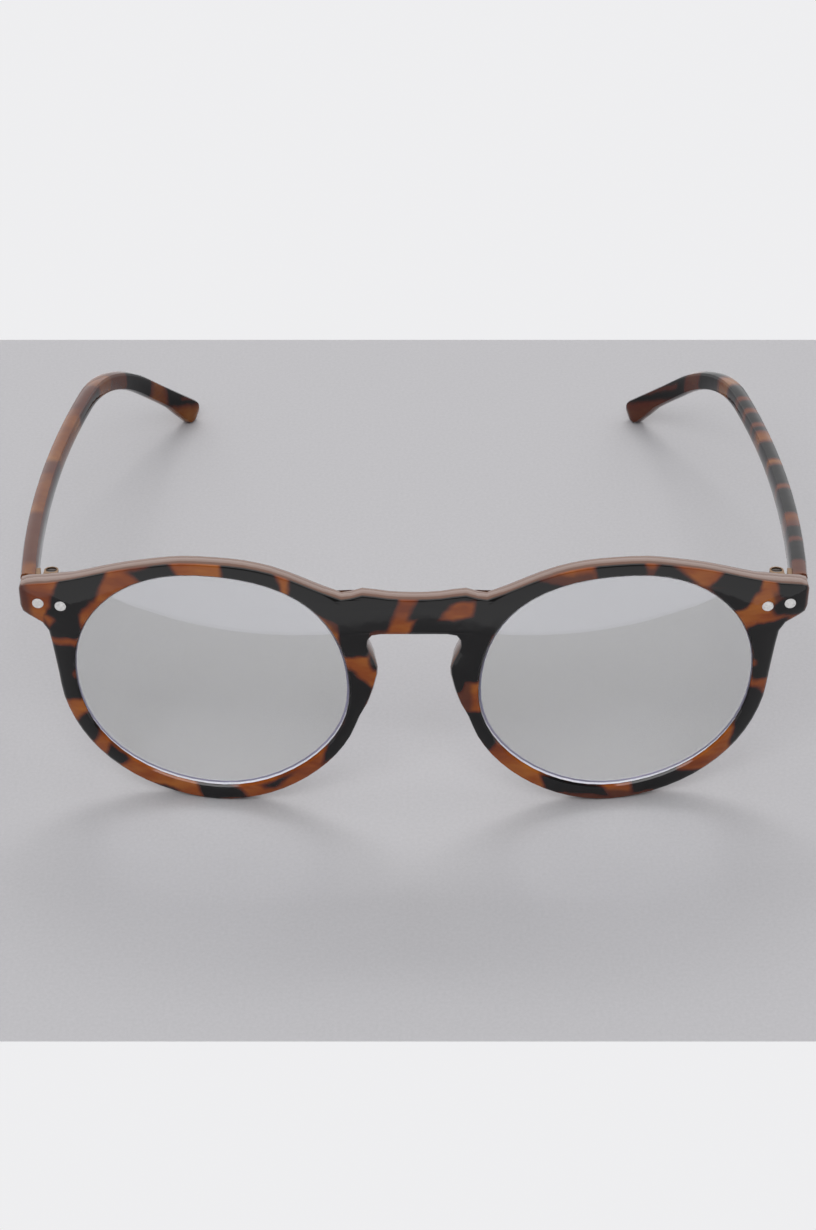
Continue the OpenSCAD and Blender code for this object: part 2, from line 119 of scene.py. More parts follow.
def mathNode(tree, operation, first, second=None, third=None):
    made = addNode(tree, "ShaderNodeMath", operation=operation)
    for socket, value in zip(made.inputs, (first, second, third)):
        if value is None:
            continue
        if isinstance(value, (int, float)):
            socket.default_value = value
        else:
            tree.links.new(value, socket)
    return made.outputs[0]


def objectPlace(tree):
    return addNode(tree, "ShaderNodeTexCoord").outputs["Object"]


def noiseNode(tree, place, scale, detail=2.0, roughness=0.5):
    made = addNode(tree, "ShaderNodeTexNoise")
    setInputs(made, {"Scale": scale, "Detail": detail, "Roughness": roughness})
    tree.links.new(place, made.inputs["Vector"])
    return made


def addBump(tree, shader, height, strength, distance):
    bump = addNode(tree, "ShaderNodeBump")
    setInputs(bump, {"Strength": strength, "Distance": distance})
    tree.links.new(height, bump.inputs["Height"])
    tree.links.new(bump.outputs["Normal"], shader.inputs["Normal"])


def smoothStep(tree, value, low, high, toLow=0.0, toHigh=1.0):
    made = addNode(tree, "ShaderNodeMapRange", interpolation_type="SMOOTHSTEP")
    setInputs(made, {"From Min": low, "From Max": high, "To Min": toLow, "To Max": toHigh})
    tree.links.new(value, made.inputs["Value"])
    return made.outputs["Result"]


def colourRamp(tree, factor, stops):
    made = addNode(tree, "ShaderNodeValToRGB")
    ramp = made.color_ramp
    while len(ramp.elements) > 1:
        ramp.elements.remove(ramp.elements[-1])
    ramp.elements[0].position = stops[0][0]
    ramp.elements[0].color = (*stops[0][1], 1)
    for position, colour in stops[1:]:
        ramp.elements.new(position).color = (*colour, 1)
    tree.links.new(factor, made.inputs[0])
    return made.outputs[0]


def mixColour(tree, factor, first, second):
    made = addNode(tree, "ShaderNodeMix", data_type="RGBA")
    tree.links.new(factor, made.inputs["Factor"])
    tree.links.new(first, made.inputs["A"])
    made.inputs["B"].default_value = (*second, 1)
    return made.outputs["Result"]


def newGroup(name, inputs, outputs):
    group = bpy.data.node_groups.new(name, "ShaderNodeTree")
    for label, kind in inputs:
        group.interface.new_socket(name=label, in_out="INPUT", socket_type=kind)
    for label, kind in outputs:
        group.interface.new_socket(name=label, in_out="OUTPUT", socket_type=kind)
    return group, group.nodes.new("NodeGroupInput"), group.nodes.new("NodeGroupOutput")


def useGroup(tree, group):
    made = tree.nodes.new("ShaderNodeGroup")
    made.node_tree = group
    return made


# Tortoiseshell: dark patches painted one by one, with slightly wandering edges.
# Each patch is the four corners (across, up) of a soft-cornered shape, in mm.
# Across is X on the front and Y on the temples; up is Z. Left is the side at minus X.
frontPatches = {
    "dark": [
        # left end piece, then down the outside of the left rim
        ((-62, 46.5), (-53.5, 49.5), (-56.5, 42), (-63.5, 41.5)),
        ((-63.5, 42.5), (-56.5, 42.5), (-59.5, 38.5), (-64.5, 38)),
        ((-64.5, 39.5), (-59, 39.5), (-59, 33.5), (-66, 33.5)),
        ((-66, 31.7), (-58.5, 31.7), (-58.5, 20.6), (-64, 19.9)),
        ((-59, 17.6), (-57, 13.7), (-58.4, 10.9), (-61.6, 14.2)),
        ((-55.1, 10.6), (-51.9, 8), (-53.9, 6.2), (-56, 7.3)),
        ((-47.4, 2.5), (-45.5, 2.6), (-43, 1.6), (-44, 0.4)),
        ((-39.6, 3.9), (-32.6, 3.6), (-30.2, 1.2), (-38.3, -0.4)),
        ((-27.4, 4.2), (-22.6, 6.8), (-24.4, 4.6), (-26.8, 3.7)),
        # up the left side of the nose
        ((-16.2, 9.9), (-15.8, 13.8), (-13.6, 16.9), (-11, 14)),
        ((-14.3, 16.2), (-12.5, 19.6), (-9.5, 19.5), (-11, 14.5)),
        ((-12.7, 18.3), (-12.5, 31.3), (-10.3, 30.4), (-10, 19)),
        ((-12, 19), (-11, 30.8), (-7.2, 27), (-10.4, 18.6)),
        ((-8.1, 34), (-5.8, 34), (-5.8, 30.8), (-7.5, 31.4)),
        ((-13, 40), (-7.5, 40), (-8, 34), (-12.8, 34)),
        # left brow and the left half of the bridge
        ((-49.5, 49), (-43, 51.8), (-41, 49), (-46.5, 47)),
        ((-33.5, 53), (-24.5, 52), (-23, 46.5), (-33, 49)),
        ((-21.7, 51), (-12, 48), (-12, 40), (-21.5, 45.5)),
        ((-14, 48.5), (-8, 48), (-8, 36), (-13, 37)),
        ((-11, 48.5), (-1.8, 48.5), (-4.7, 39.6), (-11, 38.6)),
        # right half of the bridge and the right side of the nose
        ((1.6, 48.5), (10.5, 48.5), (10.5, 42), (-0.9, 42)),
        ((0.6, 42.6), (12, 42.6), (12, 37.5), (-0.8, 38.4)),
        ((6, 40), (14, 40), (11.8, 28.6), (6, 28.4)),
        ((6, 29.5), (9.4, 29.5), (8.4, 26.2), (6.5, 25.8)),
        ((8.4, 21.6), (12.8, 21.6), (14.9, 15.2), (13.5, 12.5)),
        # right brow
        ((9, 48.5), (14.5, 46.8), (15, 38.5), (9, 38.5)),
        ((13.5, 46.1), (20.5, 49.7), (26.8, 48.2), (14, 38.5)),
        ((31.1, 52.4), (39.3, 52.4), (40.5, 49.2), (31.7, 49.2)),
        ((42.2, 51.3), (44.8, 51), (49, 46.8), (41.3, 49)),
        ((54.3, 48.6), (61, 46.6), (60.4, 43.5), (51.2, 45.7)),
        ((51, 45.7), (60.5, 44.5), (58.6, 40.6), (56, 40.2)),
        # right end piece, then down the outside of the right rim
        ((63.6, 45.8), (69.3, 44.3), (69.3, 41), (64.5, 41.7)),
        ((65.2, 43.5), (69.3, 43.5), (69.3, 38), (65.5, 37.8)),
        ((63, 40.3), (65.5, 42), (66.5, 38.1), (64, 38.2)),
        ((59, 36.1), (66.5, 37.3), (64.6, 31), (60, 31)),
        ((60, 34), (65.5, 34), (64.8, 24.8), (60.8, 24.6)),
        ((59.8, 23.1), (61.6, 22.8), (63.6, 20), (58, 15)),
        ((59, 20), (63.8, 20.8), (60.8, 13), (58, 14.3)),
        ((58.2, 16), (61.8, 15.5), (59, 10.3), (57.7, 10)),
        ((44, 5), (47.9, 5.8), (53, 4.7), (44, 0.4)),
        ((40, 4.6), (47.8, 6.2), (48.5, 2.6), (40.1, 1.3)),
        ((26.5, 5.2), (34.3, 3.4), (36, 0.9), (27.5, 2.7)),
        ((23.2, 6.8), (27.6, 5.6), (27.8, 2.6), (24.2, 3.2)),
    ],
    "amber": [
        ((-66.5, 38.7), (-64.2, 38.2), (-63.2, 37), (-64.8, 35)),
        ((-61.4, 25.8), (-60.2, 27), (-60.2, 24.4), (-61.2, 24.8)),
        ((4.0, 41.5), (6.3, 45.6), (10.8, 46), (10.6, 42.2)),
        ((60, 29.4), (61.3, 28.9), (61.6, 27.6), (60.2, 26.9)),
    ],
    "brown": [
        ((-70.5, 44), (-68.3, 44), (-67.8, 37.5), (-70, 37)),
        ((-16.4, 44.4), (-14.6, 44.6), (-12.6, 40), (-14, 39)),
        ((-12, 41), (-5, 40.5), (-5.5, 38), (-11, 37)),
        ((10.6, 43.9), (15.8, 43.1), (15, 41.2), (11, 42.4)),
        ((7.5, 38), (11.5, 38), (11.5, 35.5), (8, 35.5)),
        ((7, 29), (10.2, 29), (10, 21), (8, 21.5)),
        ((20, 50), (31, 50.6), (31, 48), (24, 48)),
        ((40, 50.8), (44, 50), (43, 48.6), (40, 49)),
        ((63, 43), (66, 42.5), (65, 40.5), (63.4, 40.5)),
        ((27, 2.9), (44, 1.7), (44, -0.5), (27, 0.8)),
    ],
}
templePatches = {
    "left": {
        "dark": [
            # the inner face of the arm, below its top
            ((-57, 42.2), (-9, 35.9), (-9, 30), (-57, 36)),
            ((14, 32.8), (30, 30.4), (30, 25), (14, 28)),
            # bend and tip
            ((46, 27), (56, 20), (54, 13.5), (45, 21)),
            ((60, 18), (77, 7), (75, 1), (60, 8.2)),
        ],
        "amber": [((64, 8.5), (71, 4.5), (71, 4), (64, 7.8))],
        "brown": [
            ((-54, 47), (-33, 44), (-33, 32), (-54, 36)),
            ((-15, 40), (-9.5, 39), (-9.5, 30), (-15, 31)),
            ((17, 36), (29, 34), (29, 25), (17, 27)),
            ((38, 31), (57, 18), (54, 12), (37, 22)),
        ],
    },
    "right": {
        "dark": [
            # bands across the arm, from the hinge backwards
            ((-53, 45), (-45, 44), (-45.5, 35), (-53, 36)),
            ((-43.5, 43), (-39, 42.5), (-39, 34), (-43, 34)),
            ((-33, 42), (-22, 41), (-22.5, 32), (-33, 32)),
            ((-20, 40), (-11, 39), (-11.5, 31), (-19.5, 31)),
            ((-8, 38), (0, 37.5), (0, 30), (-7.5, 30)),
            ((5.8, 36), (7.6, 36), (8.2, 28), (6.4, 28)),
            ((9.7, 36), (14.5, 35.5), (14.5, 28), (10, 28)),
            ((17, 35), (21, 34.5), (21, 27), (17, 27)),
            ((23, 34), (29.5, 33), (29, 26), (23, 27)),
            # bend and tip
            ((36.5, 32), (46, 28), (45, 19), (36, 23)),
            ((51.5, 25), (73, 8), (71, 2.5), (51, 16)),
        ],
        "amber": [((54, 17.5), (66, 8.5), (66, 8), (54, 16.5))],
        "brown": [
            ((-58, 46), (-37, 43), (-37, 32), (-58, 36)),
            ((36, 33), (76, 4), (66, -4), (36, 20)),
        ],
    },
}
shellLook = {
    "amber": (0.262, 0.056, 0.004),
    "paleAmber": (0.370, 0.112, 0.013),
    "deepAmber": (0.168, 0.028, 0.002),
    "fringe": (0.075, 0.013, 0.006),    # round every dark patch
    "brown": (0.065, 0.015, 0.009),
    "back": (0.130, 0.055, 0.030),      # the plainer layer behind the patterned one
    "dark": (0.0012, 0.0009, 0.0010),
    "frontTint": (1, 1, 1),
    "templeTint": (0.62, 0.80, 1.60),   # the arms are a duller brown
    "frontShine": 0.5,
    "templeShine": 0.15,
    "refraction": 1.46,
    # laid over the amber in turn: shade, the depth it follows, the two depths between which it
    # comes in (counted in edge widths, below zero outside the patch), and its full share
    "layers": (
        ("brown", "Brown", -1.2, 0.8, 0.85),
        ("fringe", "Dark", -1.3, 0.1, 1.0),
        ("dark", "Dark", -0.4, 0.5, 1.0),
    ),
    "corner": 1.1,                 # mm, how round the patches' corners are
    "join": 0.4,                   # mm, how softly neighbouring patches meet
    "wander": 0.30,                # mm that a patch's edge strays
    "wanderNoise": ((260.0, 4.0), (900.0, 1.2)),  # scale and strength, coarse and fine
    "cloudScale": 190.0,
    "cloudStretch": (0.4, 0.4, 1.3),
    "cloudStops": ((0.32, "deepAmber"), (0.50, "amber"), (0.70, "paleAmber")),
    "smearScale": 90.0,
    "smear": (0.04, 0.09),         # roughness, from clean to smeared
    "rippleScale": 320.0,
    "rippleStrength": 0.12,
    "rippleDepth": 0.0002,         # m
    "skin": (0.35, 0.65),          # mm behind the front face where the patterned layer ends
    "bowRadius": 0.300,            # m, how the front face is bowed
}
mmPerMetre = 1000.0


def inwardSides(corners):
    # each side as (across, up, shift): its dot product with (x, z, 1) is the distance inside it
    middle = sum((Vector(corner) for corner in corners), Vector((0, 0))) / len(corners)
    sides = []
    for here, there in zip(corners, corners[1:] + corners[:1]):
        along = (Vector(there) - Vector(here)).normalized()
        inward = Vector((-along.y, along.x))
        if inward.dot(middle - Vector(here)) < 0:
            inward = -inward
        sides.append((inward.x, inward.y, -inward.dot(Vector(here))))
    return sides


def buildPatchGroup():
    # how deep a point lies inside one four-sided patch, in mm; below zero outside it
    sideNames = ("SideA", "SideB", "SideC", "SideD")
    group, enter, leave = newGroup(
        "shellPatch",
        [("Place", "NodeSocketVector")] + [(side, "NodeSocketVector") for side in sideNames],
        [("Depth", "NodeSocketFloat")])
    nearest = None
    for side in sideNames:
        reach = addNode(group, "ShaderNodeVectorMath", operation="DOT_PRODUCT")
        group.links.new(enter.outputs["Place"], reach.inputs[0])
        group.links.new(enter.outputs[side], reach.inputs[1])
        depth = reach.outputs["Value"]
        if nearest is None:
            nearest = depth
        else:
            nearest = mathNode(group, "SMOOTH_MIN", nearest, depth, shellLook["corner"])
    group.links.new(nearest, leave.inputs["Depth"])
    return group


def buildPaintGroup(name, patches, sideways):
    # all patches of one colour on one piece; the place comes in metres and is read in mm
    group, enter, leave = newGroup(
        name, [("Place", "NodeSocketVector")], [("Depth", "NodeSocketFloat")])
    split = addNode(group, "ShaderNodeSeparateXYZ")
    group.links.new(enter.outputs["Place"], split.inputs[0])
    flat = addNode(group, "ShaderNodeCombineXYZ")
    for socket, axis in zip(flat.inputs, (sideways, "Z")):
        group.links.new(mathNode(group, "MULTIPLY", split.outputs[axis], mmPerMetre), socket)
    flat.inputs[2].default_value = 1.0
    joined = None
    for corners in patches:
        patch = useGroup(group, patchGroup)
        group.links.new(flat.outputs[0], patch.inputs["Place"])
        for socket, side in zip(list(patch.inputs)[1:], inwardSides(corners)):
            socket.default_value = side
        depth = patch.outputs["Depth"]
        if joined is None:
            joined = depth
        else:
            joined = mathNode(group, "SMOOTH_MAX", joined, depth, shellLook["join"])
    group.links.new(joined, leave.inputs["Depth"])
    return group


def buildWanderGroup():
    # a place pushed about by noise, so that patch edges and swirls never run straight
    group, enter, leave = newGroup(
        "shellWander",
        [("Place", "NodeSocketVector"), ("Amount", "NodeSocketFloat")],
        [("Place", "NodeSocketVector")])
    pushed = enter.outputs["Place"]
    for scale, strength in shellLook["wanderNoise"]:
        noise = noiseNode(group, enter.outputs["Place"], scale, detail=1.5)
        centred = addNode(group, "ShaderNodeVectorMath", operation="SUBTRACT")
        centred.inputs[1].default_value = (0.5, 0.5, 0.5)
        group.links.new(noise.outputs["Color"], centred.inputs[0])
        sized = addNode(group, "ShaderNodeVectorMath", operation="SCALE")
        group.links.new(centred.outputs[0], sized.inputs[0])
        group.links.new(mathNode(group, "MULTIPLY", enter.outputs["Amount"], strength),
                        sized.inputs["Scale"])
        total = addNode(group, "ShaderNodeVectorMath", operation="ADD")
        group.links.new(pushed, total.inputs[0])
        group.links.new(sized.outputs[0], total.inputs[1])
        pushed = total.outputs[0]
    group.links.new(pushed, leave.inputs["Place"])
    return group


def buildShellGroup():
    # depths inside the patches, in edge widths -> colour, gloss and a shallow moulded ripple
    group, enter, leave = newGroup(
        "shellFinish",
        [("Place", "NodeSocketVector"), ("Dark", "NodeSocketFloat"),
         ("Brown", "NodeSocketFloat"), ("Behind", "NodeSocketFloat"),
         ("Tint", "NodeSocketColor")],
        [("Color", "NodeSocketColor"), ("Roughness", "NodeSocketFloat"),
         ("Height", "NodeSocketFloat")])
    stretched = addNode(group, "ShaderNodeVectorMath", operation="MULTIPLY")
    stretched.inputs[1].default_value = shellLook["cloudStretch"]
    group.links.new(enter.outputs["Place"], stretched.inputs[0])
    cloud = noiseNode(group, stretched.outputs[0], shellLook["cloudScale"],
                      detail=3.0, roughness=0.55)
    stops = [(position, shellLook[shade]) for position, shade in shellLook["cloudStops"]]
    colour = colourRamp(group, cloud.outputs["Fac"], stops)
    tinted = addNode(group, "ShaderNodeMix", data_type="RGBA", blend_type="MULTIPLY")
    tinted.inputs["Factor"].default_value = 1.0
    group.links.new(colour, tinted.inputs["A"])
    group.links.new(enter.outputs["Tint"], tinted.inputs["B"])
    colour = tinted.outputs["Result"]
    for shade, depth, start, full, most in shellLook["layers"]:
        share = smoothStep(group, enter.outputs[depth], start, full, toHigh=most)
        colour = mixColour(group, share, colour, shellLook[shade])
    colour = mixColour(group, enter.outputs["Behind"], colour, shellLook["back"])
    group.links.new(colour, leave.inputs["Color"])
    smear = noiseNode(group, enter.outputs["Place"], shellLook["smearScale"])
    group.links.new(smoothStep(group, smear.outputs["Fac"], 0.3, 0.7, *shellLook["smear"]),
                    leave.inputs["Roughness"])
    ripple = noiseNode(group, enter.outputs["Place"], shellLook["rippleScale"], detail=1.0)
    group.links.new(ripple.outputs["Fac"], leave.inputs["Height"])
    return group


patchGroup = buildPatchGroup()
wanderGroup = buildWanderGroup()
shellGroup = buildShellGroup()


def behindFace(tree, place, foremost):
    # mm from the bowed front face back to a point
    split = addNode(tree, "ShaderNodeSeparateXYZ")
    tree.links.new(place, split.inputs[0])
    across = split.outputs["X"]
    bow = mathNode(tree, "DIVIDE", mathNode(tree, "MULTIPLY", across, across),
                   2 * shellLook["bowRadius"])
    back = mathNode(tree, "SUBTRACT", split.outputs["Y"], foremost)
    return mathNode(tree, "MULTIPLY", mathNode(tree, "SUBTRACT", back, bow), mmPerMetre)


def tortoiseshell(name, patches, sideways, edgeWidth, tint, shine, foremost=None):
    # edgeWidth is in mm; foremost is given where a plainer layer lies behind the patterned one
    material, tree, shader = newMaterial(name)
    place = objectPlace(tree)
    wander = useGroup(tree, wanderGroup)
    wander.inputs["Amount"].default_value = shellLook["wander"] / mmPerMetre
    tree.links.new(place, wander.inputs["Place"])
    depths = {}
    for shade in ("dark", "amber", "brown"):
        paint = buildPaintGroup(name + shade.capitalize(), patches[shade], sideways)
        painted = useGroup(tree, paint)
        tree.links.new(wander.outputs["Place"], painted.inputs["Place"])
        depths[shade] = painted.outputs["Depth"]
    gaps = mathNode(tree, "MULTIPLY", depths["amber"], -1.0)  # amber islands inside dark patches
    dark = mathNode(tree, "MINIMUM", depths["dark"], gaps)
    shell = useGroup(tree, shellGroup)
    shell.inputs["Tint"].default_value = (*tint, 1)
    tree.links.new(wander.outputs["Place"], shell.inputs["Place"])
    tree.links.new(mathNode(tree, "DIVIDE", dark, edgeWidth), shell.inputs["Dark"])
    tree.links.new(mathNode(tree, "DIVIDE", depths["brown"], edgeWidth), shell.inputs["Brown"])
    if foremost is not None:
        behind = behindFace(tree, place, foremost)
        tree.links.new(smoothStep(tree, behind, *shellLook["skin"]), shell.inputs["Behind"])
    addBump(tree, shader, shell.outputs["Height"],
            shellLook["rippleStrength"], shellLook["rippleDepth"])
    tree.links.new(shell.outputs["Color"], shader.inputs["Base Color"])
    tree.links.new(shell.outputs["Roughness"], shader.inputs["Roughness"])
    setInputs(shader, {"IOR": shellLook["refraction"], "Specular IOR Level": shine})
    return material


frontShell = tortoiseshell(
    "tortoiseshellFront", frontPatches, "X", edgeWidth=0.65,
    tint=shellLook["frontTint"], shine=shellLook["frontShine"],
    foremost=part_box("front_frame")[0].y)
leftShell = tortoiseshell(
    "tortoiseshellLeftTemple", templePatches["left"], "Y", edgeWidth=1.2,
    tint=shellLook["templeTint"], shine=shellLook["templeShine"])
rightShell = tortoiseshell(
    "tortoiseshellRightTemple", templePatches["right"], "Y", edgeWidth=1.5,
    tint=shellLook["templeTint"], shine=shellLook["templeShine"])
print("tortoiseshell materials built")


# Lens and metal finishes.
lensLook = {
    "body": (0.78, 0.79, 0.77),
    "coating": (0.80, 0.80, 1.0),
    "shadow": (0.86, 0.86, 0.88),  # what a shadow ray keeps on its way through
    "refraction": 2.2,             # above the plastic's own, so that the coating shines
    "smearScale": 120.0,
    "smearStrength": 0.02,
    "smearDepth": 0.0001,          # m
    "edge": (0.80, 0.80, 0.86),    # the ground rim, and the darker specks in it
    "edgeSpeck": (0.70, 0.70, 0.76),
    "edgeGrain": 2600.0,
    "edgeRough": 0.6,
    "line": (0.17, 0.16, 0.23),    # painted shade and lavender reflection: the dark line where the rear face meets the ground rim
    "linePaler": 1.5,              # how many times paler it turns in places
    "lineScale": 60.0,
    "lineRough": 0.3,
    "lineWidth": 0.0004,           # m
    "rearFacing": 0.95,            # a face whose normal points back by more is on the rear face
    "rimFacing": 0.3,              # a side face whose normal points out by more is on the rim
}
metalLook = {
    "rivetSteel": {"colour": (0.91, 0.90, 0.88), "rough": 0.50, "grain": 1800.0},
    "hingeLeafMetal": {"colour": (0.20, 0.13, 0.08), "rough": 0.60, "grain": 900.0},
    # near black: painted shade, so that the screw head reads as the dark hole it sits sunk in
    "screwSteelPaintedShade": {"colour": (0.06, 0.05, 0.045), "rough": 0.45, "grain": 1500.0},
}
metalGrain = {
    "darker": 0.72,                # share of the colour left in the grain's hollows
    "roughSpread": 0.25,           # share by which the roughness goes up and down
    "strength": 0.15,
    "depth": 0.00005,              # m
}


def lensMaterial():
    material, tree, shader = newMaterial("clearLens")
    surface = shader.outputs[0].links[0].to_socket  # the material's own output
    setInputs(shader, {
        "Base Color": (*lensLook["body"], 1),
        "Roughness": 0.0,
        "IOR": lensLook["refraction"],
        "Transmission Weight": 1.0,
        "Specular Tint": (*lensLook["coating"], 1),
    })
    smear = noiseNode(tree, objectPlace(tree), lensLook["smearScale"])
    addBump(tree, shader, smear.outputs["Fac"], lensLook["smearStrength"], lensLook["smearDepth"])
    seeThrough = addNode(tree, "ShaderNodeBsdfTransparent")
    seeThrough.inputs["Color"].default_value = (*lensLook["shadow"], 1)
    rays = addNode(tree, "ShaderNodeLightPath")
    mixed = addNode(tree, "ShaderNodeMixShader")
    tree.links.new(rays.outputs["Is Shadow Ray"], mixed.inputs[0])
    tree.links.new(shader.outputs[0], mixed.inputs[1])
    tree.links.new(seeThrough.outputs[0], mixed.inputs[2])
    tree.links.new(mixed.outputs[0], surface)
    return material


def lensEdgeMaterial():
    # the ground rim of the lens: fine matt white
    material, tree, shader = newMaterial("groundLensEdge")
    grind = noiseNode(tree, objectPlace(tree), lensLook["edgeGrain"])
    tint = colourRamp(tree, grind.outputs["Fac"],
                      [(0.3, lensLook["edgeSpeck"]), (0.7, lensLook["edge"])])
    tree.links.new(tint, shader.inputs["Base Color"])
    shader.inputs["Roughness"].default_value = lensLook["edgeRough"]
    return material


def lensShadeLineMaterial():
    # a line of painted shade and lavender reflection round the rear face, next to the ground rim
    material, tree, shader = newMaterial("lensRimShadeLine")
    cloud = noiseNode(tree, objectPlace(tree), lensLook["lineScale"])
    paler = tuple(min(1.0, lensLook["linePaler"] * value) for value in lensLook["line"])
    tint = colourRamp(tree, cloud.outputs["Fac"], [(0.4, lensLook["line"]), (0.65, paler)])
    tree.links.new(tint, shader.inputs["Base Color"])
    shader.inputs["Roughness"].default_value = lensLook["lineRough"]
    return material


def metalMaterial(name, look):
    material, tree, shader = newMaterial(name)
    grain = noiseNode(tree, objectPlace(tree), look["grain"], detail=4.0, roughness=0.6)
    darker = tuple(metalGrain["darker"] * value for value in look["colour"])
    tint = colourRamp(tree, grain.outputs["Fac"], [(0.30, darker), (0.65, look["colour"])])
    tree.links.new(tint, shader.inputs["Base Color"])
    shader.inputs["Metallic"].default_value = 1.0
    satin = addNode(tree, "ShaderNodeMapRange")
    setInputs(satin, {
        "To Min": look["rough"] * (1 - metalGrain["roughSpread"]),
        "To Max": look["rough"] * (1 + metalGrain["roughSpread"]),
    })
    tree.links.new(grain.outputs["Fac"], satin.inputs["Value"])
    tree.links.new(satin.outputs["Result"], shader.inputs["Roughness"])
    addBump(tree, shader, grain.outputs["Fac"], metalGrain["strength"], metalGrain["depth"])
    return material


clearLens = lensMaterial()
lensEdge = lensEdgeMaterial()
lensShadeLine = lensShadeLineMaterial()
metals = {name: metalMaterial(name, look) for name, look in metalLook.items()}
print("lens and metal materials built")


# Pieces: smooth copies of the moulded nodes; the metal nodes stay as they are.
mouldedPieces = {
    "front_frame": {"piece": "mouldedFront", "body": "front", "material": frontShell,
                    "slot": "tortoiseshell_front", "angle": 38},
    "temple_left": {"piece": "leftTemple", "body": "temple_left", "material": leftShell,
                    "slot": "tortoiseshell_temple", "angle": 38},
    "temple_right": {"piece": "rightTemple", "body": "temple_right", "material": rightShell,
                     "slot": "tortoiseshell_temple", "angle": 38},
    "lens_left": {"piece": "leftLens", "body": "front", "material": clearLens,
                  "slot": "clear_lens", "angle": 25},
    "lens_right": {"piece": "rightLens", "body": "front", "material": clearLens,
                   "slot": "clear_lens", "angle": 25},
}
mergeDistance = 0.000003  # m, within which the solid's doubled corners become one


def smoothCopy(nodeName, look):
    pickNothing()
    cadNode = frame["nodes"][nodeName]
    cadNode.select_set(True)
    bpy.context.view_layer.objects.active = cadNode
    bpy.ops.object.duplicate()
    piece = bpy.context.object
    piece.name = look["piece"]
    piece.data.name = look["piece"]
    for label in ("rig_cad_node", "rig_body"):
        if label in piece:
            del piece[label]
    piece.parent = None
    bpy.ops.mesh.customdata_custom_splitnormals_clear()
    bpy.ops.object.mode_set(mode="EDIT")
    bpy.ops.mesh.select_all(action="SELECT")
    bpy.ops.mesh.remove_doubles(threshold=mergeDistance)
    bpy.ops.mesh.select_all(action="DESELECT")
    bpy.ops.object.mode_set(mode="OBJECT")
    bpy.ops.object.shade_smooth_by_angle(angle=math.radians(look["angle"]))
    piece.data.materials.clear()
    piece.data.materials.append(look["material"])
    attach(piece, look["body"])
    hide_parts(nodeName)
    return piece


shown = {nodeName: smoothCopy(nodeName, look) for nodeName, look in mouldedPieces.items()}


# Lens rims: a line of painted shade and reflection inset round the rear face, and a ground edge
# outside it.
def dressLensRim(lens):
    lens.data.materials.append(lensEdge)
    lens.data.materials.append(lensShadeLine)
    edgeSlot, shadeLineSlot = 1, 2  # slot 0 is the clear lens
    pickNothing()
    bpy.context.view_layer.objects.active = lens
    lens.select_set(True)
    bpy.ops.object.mode_set(mode="EDIT")
    bpy.ops.mesh.select_mode(type="FACE")
    bpy.ops.mesh.select_all(action="DESELECT")
    bpy.ops.object.mode_set(mode="OBJECT")
    for face in lens.data.polygons:
        face.select = face.normal.y > lensLook["rearFacing"]
    bpy.ops.object.mode_set(mode="EDIT")
    bpy.ops.mesh.inset(thickness=lensLook["lineWidth"], use_outset=False)
    bpy.ops.mesh.select_all(action="INVERT")  # the inset leaves only the middle selected
    bpy.ops.object.mode_set(mode="OBJECT")
    centre = sum((Vector(corner) for corner in lens.bound_box), Vector()) / 8
    for face in lens.data.polygons:
        outward = face.normal.dot((face.center - centre).normalized())
        if abs(face.normal.y) < lensLook["rearFacing"] and outward > lensLook["rimFacing"]:
            face.material_index = edgeSlot
        elif face.normal.y > lensLook["rearFacing"] and face.select:
            face.material_index = shadeLineSlot


dressLensRim(shown["lens_left"])
dressLensRim(shown["lens_right"])
print("lens rims dressed")


metalNodes = {
    "front_hinge": "hingeLeafMetal",
    "temple_hinge": "hingeLeafMetal",
    "hinge_screw": "screwSteelPaintedShade",
    "rivet": "rivetSteel",
}
for nodeName, node in frame["nodes"].items():
    for start, metal in metalNodes.items():
        if nodeName.startswith(start):
            node.data.materials.clear()
            node.data.materials.append(metals[metal])
print("pieces dressed:", len(shown), "smooth copies")


# Stage: one plain pale sheet under the object, with a pale world round it.
floorSetup = {
    "colour": (0.470, 0.466, 0.481),
    "speckle": 0.04,     # share by which the colour goes up and down
    "speckleScale": 1500.0,
    "rough": 0.8,
    "shine": 0.1,
    "left": -4.0,        # m, where the sheet ends on each side
    "right": 4.0,
    "front": -0.1307,
    "back": 0.106,
}


def buildFloor():
    pickNothing()
    wide = floorSetup["right"] - floorSetup["left"]
    deep = floorSetup["back"] - floorSetup["front"]
    middle = ((floorSetup["left"] + floorSetup["right"]) / 2,
              (floorSetup["front"] + floorSetup["back"]) / 2, 0)
    bpy.ops.mesh.primitive_plane_add(size=1, location=middle)
    floor = bpy.context.object
    floor.name = "paleFloor"
    floor.scale = (wide, deep, 1)
    bpy.ops.object.transform_apply(location=True, rotation=True, scale=True)
    material, tree, shader = newMaterial("paleFloor")
    speckle = noiseNode(tree, objectPlace(tree), floorSetup["speckleScale"],
                        detail=3.0, roughness=0.7)
    low = tuple(value * (1 - floorSetup["speckle"]) for value in floorSetup["colour"])
    high = tuple(value * (1 + floorSetup["speckle"]) for value in floorSetup["colour"])
    tree.links.new(colourRamp(tree, speckle.outputs["Fac"], [(0.3, low), (0.7, high)]),
                   shader.inputs["Base Color"])
    setInputs(shader, {"Roughness": floorSetup["rough"],
                       "Specular IOR Level": floorSetup["shine"]})
    floor.data.materials.append(material)


buildFloor()
print("floor built")


